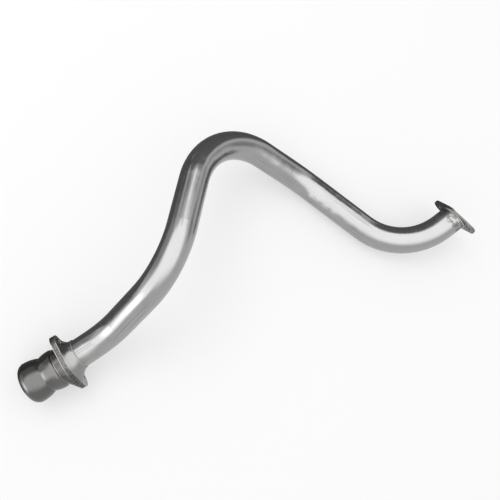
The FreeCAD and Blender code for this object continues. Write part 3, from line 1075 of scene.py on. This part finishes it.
@dataclass(frozen=True)
class GroundFlag:
    """A dark strip on the floor to the left of a line, which only the steel mirrors.

    Args:
        name: The strip's name.
        start: The line's start on the floor, in metres.
        end: Its end.
        before: How far the strip starts before the line does, in metres.
        beyond: How far it runs on past the line, in metres.
        lift: How high over the floor it lies, in metres.
        reach: How far it reaches to the left, in metres.
        glow: How bright it is, where a white floor is 1.
        soft: How wide its edges fade out, in metres.
    """

    name: str
    start: FloorPoint
    end: FloorPoint
    before: float
    beyond: float
    lift: float
    reach: float = 2.1
    glow: float = 0.16
    soft: float = 12 * MM

    def build(self) -> bpy.types.Object:
        """Lays the strip.

        Returns:
            The strip.
        """
        first, last = Vector((*self.start, self.lift)), Vector((*self.end, self.lift))
        ahead = (last - first).normalized()
        left = UP.cross(ahead)
        length = (last - first).length + self.before + self.beyond
        middle = first + ahead * (length / 2 - self.before) + left * (self.reach / 2)
        feather = (self.soft / length, self.soft / length, self.soft / self.reach, self.soft / self.reach)
        pose = standing(middle, ahead, left, UP)
        return Panel(self.name, pose, length, self.reach, self.glow, feather).build()


@dataclass
class Lamp:
    """A soft lamp that lights the floor and isn't mirrored.

    Args:
        name: The lamp's name.
        place: Where it hangs, in metres.
        size: Its side, in metres.
        power: Its power, in watts.
    """

    name: str
    place: Point
    size: float
    power: float

    def build(self) -> bpy.types.Object:
        """Hangs the lamp, aimed at the pipe.

        Returns:
            The lamp.
        """
        light = bpy.data.lights.new(self.name, "AREA")
        light.shape = "SQUARE"
        light.size = self.size
        light.energy = self.power
        lamp = bpy.data.objects.new(self.name, light)
        lamp.location = self.place
        lamp.rotation_euler = (-Vector(self.place)).to_track_quat("-Z", "Y").to_euler()
        lamp.visible_glossy = False
        bpy.context.collection.objects.link(lamp)
        return lamp


@dataclass
class Camera:
    """The camera, nearly over the pipe.

    Args:
        name: Its name.
        place: Where it stands, in metres.
        right: The direction that is to the right in the picture.
        up: The direction that is up in the picture.
        lens: Its focal length, in millimetres.
        sensor: Its sensor's width, in millimetres.
        nearest: The nearest distance that it sees, in metres.
    """

    name: str = "photo_camera"
    place: Point = (-0.151247, -0.174271, 1.0498)
    right: Point = (0.990594, -0.000714, 0.136833)
    up: Point = (-0.025930, 0.980888, 0.192836)
    lens: float = 46.063
    sensor: float = 36.0
    nearest: float = 10 * MM

    def build(self) -> bpy.types.Object:
        """Makes the camera the scene's own.

        Returns:
            The camera.
        """
        data = bpy.data.cameras.new(self.name)
        data.lens = self.lens
        data.sensor_width = self.sensor
        data.clip_start = self.nearest
        camera = bpy.data.objects.new(self.name, data)
        right = Vector(self.right).normalized()
        back = right.cross(Vector(self.up)).normalized()
        camera.matrix_world = standing(Vector(self.place), right, back.cross(right), back)
        bpy.context.collection.objects.link(camera)
        bpy.context.scene.camera = camera
        return camera


@dataclass
class Studio:
    """A pale floor under soft light, with cards and dark strips round the pipe for the steel to mirror.

    Args:
        floor_size: The floor's side, in metres.
        floor_colour: Its colour.
        floor_cloud: The size of its faint clouds, in metres.
        floor_shade: The clouds' darkest tone, as a share of the colour.
        floor_roughness: Its roughness.
        floor_white: How much of plain white the camera and the steel see in it.
        air: How bright the air round it all is.
        lamps: The lamps.
        cards: The cards and soft boxes.
        line: The line of the pipe on the floor, whose left side the steel mirrors dark.
        stretches: For each stretch of the line, its strip's name, and how far the strip starts before it and
            runs on past it, in metres.
        lowest: How high over the floor the first strip lies, in metres.
        step: How much higher each next strip lies, in metres.
    """

    floor_size: float = 12.0
    floor_colour: Colour = (0.92, 0.92, 0.92)
    floor_cloud: float = 0.4
    floor_shade: float = 0.985
    floor_roughness: float = 0.9
    floor_white: float = 0.45
    air: float = 0.93
    lamps: tuple[Lamp, ...] = (Lamp("key", (-0.9, 0.8, 2.0), 1.2, 9.0),)
    cards: tuple[Card, ...] = (
        Card("ceiling_box", 270.0, 78.5, 2.5, 7.6, 6.4, 2.25, (0.3, 0.22, 0.42, 0.07)),
        Card("left_box", 212.0, 24.0, 2.6, 2.4, 3.3, 2.2, (0.08, 0.12, 0.05, 0.15)),
        Card("back_flag", 82.0, 18.0, 2.0, 3.1, 2.0, 0.19, (0.1, 0.12, 0.02, 0.08)),
        Card("left_flag", 143.0, 9.0, 1.9, 1.9, 1.25, 0.13, (0.3, 0.05, 0.02, 0.3)),
        Card("east_flag", 14.0, 20.0, 1.8, 1.5, 0.9, 0.4, (0.4, 0.4, 0.3, 0.4)),
        Card("north_box", 80.0, 43.0, 3.6, 1.7, 1.1, 2.2, (0.35, 0.35, 0.3, 0.1)),
        Card("ball_flag", 130.0, 30.0, 0.6, 0.7, 0.55, 0.5, (0.3, 0.3, 0.1, 0.35), BALL_MIDDLE),
        Card("ball_glint", 212.0, 25.0, 0.45, 0.42, 0.3, 5.4, (0.45, 0.45, 0.45, 0.45), BALL_MIDDLE),
    )
    line: tuple[FloorPoint, ...] = (
        (-0.2977, -0.1521),
        (-0.1793, -0.0458),
        (-0.1286, 0.0462),
        (-0.0928, 0.1829),
        (-0.0248, 0.2199),
        (0.0482, 0.1857),
        (0.2342, 0.0626),
        (0.3348, 0.0856),
        (0.3807, 0.1156),
    )
    stretches: tuple[tuple[str, float, float], ...] = (
        ("ground_ball", 0.2, 0.0),
        ("ground_leg", 0.02, 0.0),
        ("ground_arch", 0.02, 1.8),
        ("ground_top", 1.2, 1.0),
        ("ground_fall", 1.0, 0.1),
        ("ground_run", 0.1, 0.0),
        ("ground_turn", 0.02, 0.02),
        ("ground_end", 0.0, 0.5),
    )
    lowest: float = 1.2 * MM
    step: float = 0.2 * MM

    def build(self) -> None:
        """Lays the floor, fills the air, hangs the lamps, and places the cards and the strips."""
        self.floor()
        self.fill_air()
        for part in (*self.lamps, *self.cards, *self.strips()):
            part.build()
        bpy.context.scene.view_settings.view_transform = "Standard"
        LOG.info("the studio has %d lamps and %d cards", len(self.lamps), len(self.cards))

    def floor(self) -> bpy.types.Object:
        """Lays the floor, which the camera and the steel see whiter than it is lit.

        Returns:
            The floor.
        """
        bpy.ops.object.select_all(action="DESELECT")
        bpy.ops.mesh.primitive_plane_add(size=self.floor_size)
        floor = bpy.context.object
        floor.name = "floor"
        shader = Shader("floor_paper")
        dimmer = tuple(channel * self.floor_shade for channel in self.floor_colour)
        cloud = shader.noise(self.floor_cloud)
        shader.feed(shader.surface.inputs["Base Color"], shader.mix(cloud, dimmer, self.floor_colour))
        shader.surface.inputs["Roughness"].default_value = self.floor_roughness
        shader.surface.inputs["Specular IOR Level"].default_value = 0.0
        rays = shader.node("ShaderNodeLightPath")
        seen = shader.math("ADD", rays.outputs["Is Camera Ray"], rays.outputs["Is Glossy Ray"])
        seen = shader.math("ADD", seen, rays.outputs["Is Transmission Ray"])
        white = shader.node("ShaderNodeEmission")
        shader.end(
            shader.product(seen, self.floor_white), shader.surface.outputs["BSDF"], white.outputs[0]
        )
        floor.data.materials.append(shader.material)
        return floor

    def fill_air(self) -> None:
        """Fills the air round the floor with an even white light."""
        world = bpy.data.worlds.new("studio_air")
        world.use_nodes = True
        background = world.node_tree.nodes["Background"]
        background.inputs["Color"].default_value = (1.0, 1.0, 1.0, 1.0)
        background.inputs["Strength"].default_value = self.air
        bpy.context.scene.world = world

    def strips(self) -> list[GroundFlag]:
        """The dark strips, one beside each stretch of the pipe's line.

        Returns:
            The strips, each a little higher than the one before, so that no two lie in one plane.
        """
        ends = zip(self.stretches, self.line, self.line[1:])
        return [
            GroundFlag(name, start, end, before, beyond, self.lowest + self.step * index)
            for index, ((name, before, beyond), start, end) in enumerate(ends)
        ]


def main() -> None:
    """Builds the pipe's looks, the studio and the camera."""
    logging.basicConfig(level=logging.INFO, format="%(message)s")
    MidPipe().build()
    Studio().build()
    Camera().build()


if __name__ == "__main__":
    main()
